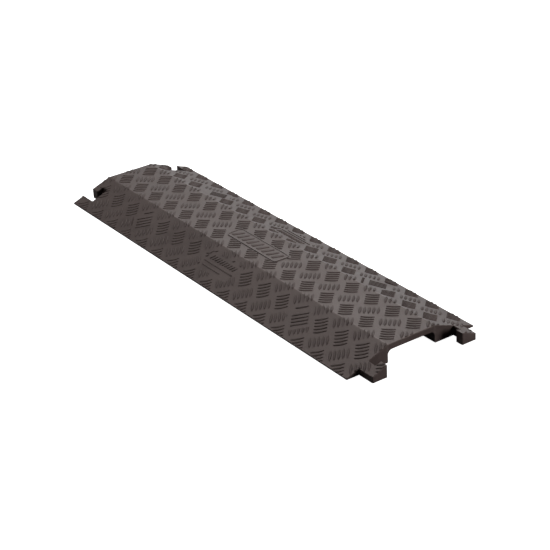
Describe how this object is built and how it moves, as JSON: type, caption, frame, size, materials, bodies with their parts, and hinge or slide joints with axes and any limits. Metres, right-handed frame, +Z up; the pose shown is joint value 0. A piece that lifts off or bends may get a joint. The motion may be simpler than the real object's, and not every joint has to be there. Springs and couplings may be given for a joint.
{
  "type": "cable protector ramp",
  "caption": "Low drop-over cable protector ramp with sloping sides, a treaded deck, an underside cable channel, and hooked lugs and sockets that join sections end to end.",
  "frame": {"origin": "on the floor, under the middle of the overall box, lugs included", "axes": "+X along the cables, towards the lugs; +Y across, towards the back; +Z up"},
  "size_m": [0.9504, 0.2754, 0.0361],
  "materials": {
    "moulding": "moulded polyurethane, satin, with a raised five-bar tread",
    "grip_rubber": "soft matt rubber"
  },
  "bodies": {
    "root": {"ramp_body": "moulding", "grip_pad_front_1": "grip_rubber", "grip_pad_front_2": "grip_rubber", "grip_pad_front_3": "grip_rubber", "grip_pad_front_4": "grip_rubber", "grip_pad_back_1": "grip_rubber", "grip_pad_back_2": "grip_rubber", "grip_pad_back_3": "grip_rubber", "grip_pad_back_4": "grip_rubber"}
  },
  "joints": []
}
